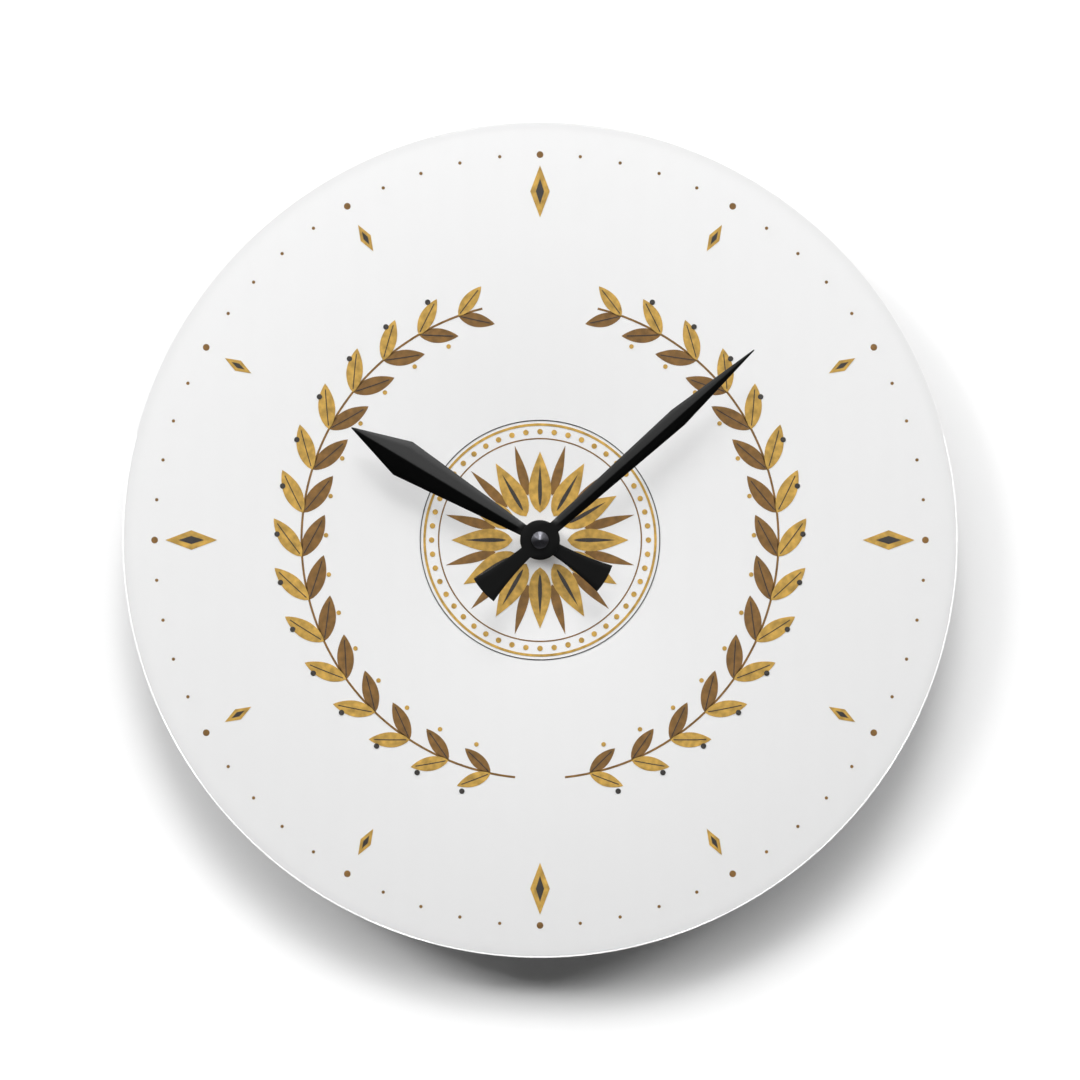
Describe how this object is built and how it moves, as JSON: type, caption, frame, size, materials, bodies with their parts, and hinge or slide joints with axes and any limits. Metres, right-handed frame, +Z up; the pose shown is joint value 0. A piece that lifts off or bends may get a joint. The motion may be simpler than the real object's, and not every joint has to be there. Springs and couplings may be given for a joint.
{
  "type": "acrylic wall clock",
  "caption": "Round clear acrylic wall clock with a back-printed face, black lance hands and a battery quartz movement that hangs on a nail.",
  "frame": {"origin": "on the wall plane behind the middle of the dial, where the hands' axis meets the flat back of the movement's cover", "axes": "+Z up to twelve o'clock, +X to the right seen from the front, the face looks to -Y and the wall lies at +Y"},
  "size_m": [0.273, 0.0325, 0.273],
  "materials": {
    "acrylic": "polished",
    "white_ink": "matte",
    "black_paint": "satin",
    "black_nickel": "polished",
    "brass": "satin",
    "rubber": "matte",
    "zinc_steel": "satin",
    "black_abs": "satin",
    "white_acetal": "satin",
    "soft_iron": "satin",
    "magnet": "satin",
    "copper_wire": "satin",
    "board": "satin",
    "resin": "gloss",
    "cell_wrap": "gloss"
  },
  "bodies": {
    "clock_body": {"dial_plate": "acrylic", "dial_print": "white_ink", "hex_nut": "brass", "brass_washer": "brass", "rubber_washer": "rubber", "hanger": "zinc_steel", "positive_contact": "zinc_steel", "negative_contact": "zinc_steel", "quartz_crystal": "zinc_steel", "case_front": "black_abs", "case_back": "black_abs", "train_plate": "white_acetal", "coil_bobbin": "white_acetal", "stator": "soft_iron", "coil_core": "soft_iron", "coil_winding": "copper_wire", "circuit_board": "board", "driver_chip": "resin"},
    "minute_work": {"minute_hand": "black_paint", "cap_nut": "black_nickel", "minute_arbor": "brass", "clutch_spring": "zinc_steel"},
    "hour_work": {"hour_hand": "black_paint", "hour_hand_collet": "black_nickel", "hour_wheel": "white_acetal"},
    "setting_work": {"minute_wheel": "white_acetal", "setting_knob": "black_abs"},
    "second_arbor": {"second_wheel": "white_acetal"},
    "third_arbor": {"third_wheel": "white_acetal"},
    "centre_arbor": {"centre_wheel": "white_acetal"},
    "intermediate_arbor": {"intermediate_wheel": "white_acetal"},
    "rotor": {"rotor_pinion": "white_acetal", "rotor_magnet": "magnet"},
    "cell": {"battery_cell": "cell_wrap"}
  },
  "joints": [
    {"name": "minute_turn", "type": "hinge", "parent": "clock_body", "child": "minute_work", "pos_m": [0, 0, 0], "axis": [0, 1, 0], "continuous": true},
    {"name": "hour_turn", "type": "hinge", "parent": "clock_body", "child": "hour_work", "pos_m": [0, 0, 0], "axis": [0, 1, 0], "continuous": true},
    {"name": "setting_turn", "type": "hinge", "parent": "clock_body", "child": "setting_work", "pos_m": [-0.01076, 0, 0], "axis": [0, 1, 0], "continuous": true},
    {"name": "second_turn", "type": "hinge", "parent": "clock_body", "child": "second_arbor", "pos_m": [0, 0, 0], "axis": [0, 1, 0], "continuous": true},
    {"name": "third_turn", "type": "hinge", "parent": "clock_body", "child": "third_arbor", "pos_m": [0.0051, 0, 0.00883], "axis": [0, 1, 0], "continuous": true},
    {"name": "centre_turn", "type": "hinge", "parent": "clock_body", "child": "centre_arbor", "pos_m": [0, 0, 0], "axis": [0, 1, 0], "continuous": true},
    {"name": "intermediate_turn", "type": "hinge", "parent": "clock_body", "child": "intermediate_arbor", "pos_m": [0.00789, 0, -0.00287], "axis": [0, 1, 0], "continuous": true},
    {"name": "rotor_turn", "type": "hinge", "parent": "clock_body", "child": "rotor", "pos_m": [0.01509, 0, -0.00287], "axis": [0, 1, 0], "continuous": true},
    {"name": "cell_slide", "type": "slide", "parent": "clock_body", "child": "cell", "axis": [0, 1, 0], "range_m": [0, 0.02]}
  ],
  "couplings": [
    {"joint": "hour_turn", "follows": "minute_turn", "ratio": 0.083333},
    {"joint": "setting_turn", "follows": "minute_turn", "ratio": -0.25},
    {"joint": "third_turn", "follows": "second_turn", "ratio": -0.125},
    {"joint": "centre_turn", "follows": "second_turn", "ratio": 0.016667},
    {"joint": "intermediate_turn", "follows": "second_turn", "ratio": -6},
    {"joint": "rotor_turn", "follows": "second_turn", "ratio": 30}
  ]
}
